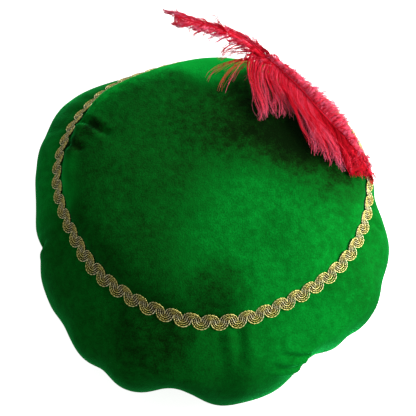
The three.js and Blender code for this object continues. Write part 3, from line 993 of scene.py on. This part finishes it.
def mottle_group():
    """Mottled tone at three scales, shared by all finishes."""
    group = bpy.data.node_groups.new("mottle", "ShaderNodeTree")
    group.interface.new_socket("Place", in_out="INPUT", socket_type="NodeSocketVector")
    for name in MOTTLE_DETAIL:
        group.interface.new_socket(name, in_out="INPUT", socket_type="NodeSocketFloat")
    for name in MOTTLE_SHARES:
        group.interface.new_socket(name, in_out="OUTPUT", socket_type="NodeSocketFloat")
    entry = node(group, "NodeGroupInput").outputs
    leaving = node(group, "NodeGroupOutput")
    noises = []
    for name, detail in MOTTLE_DETAIL.items():
        values = {"Vector": entry["Place"], "Scale": entry[name], "Detail": detail}
        noises.append(node(group, "ShaderNodeTexNoise", values).outputs["Fac"])
    for name, shares in MOTTLE_SHARES.items():
        total = 0.0
        for tone, share in zip(noises, shares):
            total = worked(group, "MULTIPLY_ADD", tone, share, total)
        feed(group, leaving, {name: total})
    return group


def mottled(tree, group, coarse, middle, fine):
    """A finish's own mottle, on Object coordinates."""
    place = node(tree, "ShaderNodeTexCoord").outputs["Object"]
    values = {"Place": place, "Coarse": coarse, "Middle": middle, "Fine": fine}
    made = node(tree, "ShaderNodeGroup", values, node_tree=group)
    return made.outputs["Tone"], made.outputs["Grain"]


def mapped(tree, name):
    """The two values of a UV map."""
    values = {0: node(tree, "ShaderNodeUVMap", uv_map=name).outputs["UV"]}
    split = node(tree, "ShaderNodeSeparateXYZ", values)
    return split.outputs["X"], split.outputs["Y"]


def new_finish(name, rough, specular):
    material = bpy.data.materials.new(name)
    material.use_nodes = True
    tree = material.node_tree
    shader = tree.nodes["Principled BSDF"]
    feed(tree, shader, {"Roughness": rough, "Specular IOR Level": specular})
    return material, tree, shader


# Patches of painted shade and painted light laid on the velvet's tone: the feather's painted shadow, painted
# shade in creases and dents, a painted sheen along the back rim, and painted light on the lit front, right
# and left rim. Each row: place from the crown's axis, full at, ends at, change of tone.
# One that ends nearer than it is full lies all round its place
CROWN_PAINTED_LIGHT = (
    (60, -75, 110, 60, 112, 0.25), (84, 5, 109, 6, 54, -0.3), (58, 34, 110, 4, 60, -0.2),
    (42, 10, 113, 4, 48, -0.12), (100, -22, 105, 6, 28, -0.1), (-96, 32, 113, 3, 13, -0.2),
    (-113, 16, 110, 2, 11, -0.14), (30, 72, 106, 10, 38, -0.12), (2, 40, 114, 12, 50, -0.09),
    (0, -40, 100, 147, 126, 0.5), (-2, 97, 106, 12, 32, 0.5), (-117, -5, 105, 7, 20, 0.35),
    (-115, -27, 105, 7, 20, 0.35), (-102, 45, 98, 6, 20, 0.12), (2, -104, 103, 8, 30, -0.26),
)
# Painted light and painted shade on the side: lighter at the front right and on the left puff, darker at the
# front left
SIDE_PAINTED_LIGHT = (
    (60, -75, 60, 66, 108, 0.06), (75, -135, 60, 25, 62, 0.14),
    (-146, 0, 72, 25, 60, 0.2), (-48, -134, 89, 14, 42, -0.16),
)


def velvet_finish(name, mottle, rest, painted_light):
    """Green pile velvet: mottled, with a sheen on turned edges, and painted shade and painted light laid on
    in patches.
    """
    material, tree, shader = new_finish(name, rough=0.95, specular=0.02)
    tone, grain = mottled(tree, mottle, coarse=24, middle=170, fine=800)
    place = node(tree, "ShaderNodeTexCoord").outputs["Object"]
    wander = worked(tree, "MULTIPLY_ADD", tone, VELVET.wander, -VELVET.wander / 2)
    lit = worked(tree, "MULTIPLY_ADD", grain, VELVET.grain, rest)
    lit = worked(tree, "MULTIPLY_ADD", tone, VELVET.mottle, lit)
    # Each patch adds painted light or painted shade to the velvet's tone
    for x, y, z, full, end, change in painted_light:
        values = {0: place, 1: AXIS + MM * Vector((x, y, z))}
        away = node(tree, "ShaderNodeVectorMath", values, operation="DISTANCE").outputs["Value"]
        values = {"Value": worked(tree, "ADD", away, wander), "From Min": full * MM, "From Max": end * MM,
                  "To Min": change, "To Max": 0}
        patch = node(tree, "ShaderNodeMapRange", values, interpolation_type="SMOOTHSTEP")
        lit = worked(tree, "ADD", lit, patch.outputs["Result"])
    pile = node(tree, "ShaderNodeBump", {"Strength": 0.6, "Distance": 0.0012, "Height": grain})
    feed(tree, shader, {"Base Color": ramp(tree, lit, VELVET_TONES), "Normal": pile.outputs["Normal"],
                        "Sheen Weight": 0.9, "Sheen Roughness": 0.3, "Sheen Tint": (0.02, 0.85, 0.16, 1)})
    return material


def gold_finish(mottle):
    """Gold gimp: yellow on the waves' crests and paler between them, with painted highlights on its beads,
    painted shade in its grooves and near-black ground threads as painted shade.
    """
    material, tree, shader = new_finish("gold_gimp", rough=0.3, specular=0.5)
    along, kind = mapped(tree, "thread")
    # Painted highlight on each bead's crest and painted shade in the groove between beads
    bead = worked(tree, "COSINE", worked(tree, "MULTIPLY", along, math.tau))
    bead = worked(tree, "MULTIPLY_ADD", bead, -0.5, 0.5)
    wave = worked(tree, "SINE", worked(tree, "MULTIPLY", along, math.tau / CORD.beads))
    _, grain = mottled(tree, mottle, coarse=60, middle=700, fine=1600)
    lit = worked(tree, "MULTIPLY_ADD", grain, GOLD_WITH_PAINTED_LIGHT.grain, GOLD_WITH_PAINTED_LIGHT.rest)
    lit = worked(tree, "MULTIPLY_ADD", bead, GOLD_WITH_PAINTED_LIGHT.beads, lit)
    # Ground threads are darkened to near black here: painted shade between the cords
    lit = worked(tree, "MULTIPLY", lit, worked(tree, "MULTIPLY_ADD", kind, 1 - GOLD_WITH_PAINTED_LIGHT.ground, GOLD_WITH_PAINTED_LIGHT.ground))
    mixed = node(tree, "ShaderNodeMix", {"Factor": worked(tree, "ABSOLUTE", wave)}, data_type="RGBA")
    colours = [socket for socket in mixed.inputs if socket.type == "RGBA"]
    for socket, tones in zip(colours, (PALE_TONES, YELLOW_TONES)):
        tree.links.new(ramp(tree, lit, tones), socket)
    result = next(socket for socket in mixed.outputs if socket.type == "RGBA")
    feed(tree, shader, {"Base Color": result, "Metallic": 0.12})
    return material


def plume_finish(mottle):
    """Dyed red barbs, paler towards their ends."""
    material, tree, shader = new_finish("red_plume", rough=0.6, specular=0.06)
    share, own = mapped(tree, "barb")
    tone, _ = mottled(tree, mottle, coarse=80, middle=300, fine=1500)
    pale = worked(tree, "MULTIPLY", own, PLUME.tone)
    pale = worked(tree, "MULTIPLY_ADD", worked(tree, "POWER", share, 2), PLUME.ends, pale)
    pale = worked(tree, "MULTIPLY_ADD", tone, PLUME.mottle, pale)
    feed(tree, shader, {"Base Color": ramp(tree, pale, RED_TONES), "Sheen Weight": 0.07,
                        "Sheen Tint": (1, 0.25, 0.3, 1)})
    return material


# Stage, in metres: floor, lights and the photograph's camera
FLOOR = Row(size=6, height=-0.0005, glow=0.85)
LIGHTS = (
    {"name": "key", "place": (0.43, -0.08, 0.29), "size": 0.26, "power": 2.9},
    {"name": "rim", "place": (0.3, 0.58, 0.26), "size": 0.35, "power": 4.5},
)
LIGHTS_AIM = (0, 0, 0.09)
STUDIO_GLOW = 0.3
CAMERA = Row(raised=62, away=0.7, target=(-0.0051, -0.0123, 0.060), sensor=36, lens=72.7)


def make_floor(mottle):
    """A plain pale floor under the hat."""
    floor = fresh(bpy.ops.mesh.primitive_plane_add, "floor", size=FLOOR.size,
                  location=(AXIS.x, AXIS.y, FLOOR.height))
    material, tree, shader = new_finish("pale_floor", rough=0.9, specular=0.1)
    tone, _ = mottled(tree, mottle, coarse=3, middle=10, fine=100)
    feed(tree, shader, {"Base Color": ramp(tree, tone, FLOOR_TONES), "Emission Color": (1, 1, 1, 1),
                        "Emission Strength": FLOOR.glow})
    floor.data.materials.append(material)
    floor.visible_diffuse = False
    floor.visible_glossy = False


def soft_light(name, place, size, power):
    """A square soft light that faces the hat."""
    light = bpy.data.lights.new(name, "AREA")
    light.size = size
    light.energy = power
    lamp = linked(name, light)
    lamp.location = AXIS + Vector(place)
    lamp.rotation_euler = (AXIS + Vector(LIGHTS_AIM) - lamp.location).to_track_quat("-Z", "Y").to_euler()


def make_stage(mottle):
    make_floor(mottle)
    for light in LIGHTS:
        soft_light(**light)
    world = bpy.data.worlds.new("studio")
    bpy.context.scene.world = world
    world.use_nodes = True
    tree = world.node_tree
    feed(tree, tree.nodes["Background"], {"Color": (1, 1, 1, 1), "Strength": STUDIO_GLOW})
    view = bpy.context.scene.view_settings
    view.view_transform = "Standard"
    view.look = "None"


def make_camera():
    """The photograph's camera, raised over the front of the hat."""
    raised = math.radians(CAMERA.raised)
    camera = bpy.data.cameras.new("camera")
    camera.sensor_width = CAMERA.sensor
    camera.lens = CAMERA.lens
    camera.clip_start = 0.01
    stand = linked("camera", camera)
    back = Vector((0, -math.cos(raised), math.sin(raised)))
    stand.location = AXIS + Vector(CAMERA.target) + CAMERA.away * back
    stand.rotation_euler = (math.pi / 2 - raised, 0, 0)
    bpy.context.scene.camera = stand


mottle = mottle_group()
make_camera()
make_stage(mottle)

top = make_crown_top()
side = make_crown_side()
braid = make_braid(surface_tree((top, side)))
skin = skin_map((top, side, braid))
shaft = make_shaft()
inner, outer, tip, wisps = make_plume(skin)

red = plume_finish(mottle)
dressed = [
    # The crown's velvet is the side's velvet with its tone set lower all over: painted shade on the crown
    (top, velvet_finish("crown_velvet", mottle, rest=-0.115, painted_light=CROWN_PAINTED_LIGHT), "velvet"),
    (side, velvet_finish("side_velvet", mottle, rest=-0.015, painted_light=SIDE_PAINTED_LIGHT), "velvet"),
    (braid, gold_finish(mottle), "gold_braid"),
]
dressed += [(piece, red, "plume") for piece in (shaft, inner, outer, tip, wisps)]
for piece, finish, slot in dressed:
    piece.data.materials.append(finish)
    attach(piece, "root")

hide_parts("crown_top")
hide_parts("crown_side", "hem")
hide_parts("braid")
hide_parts("feather")
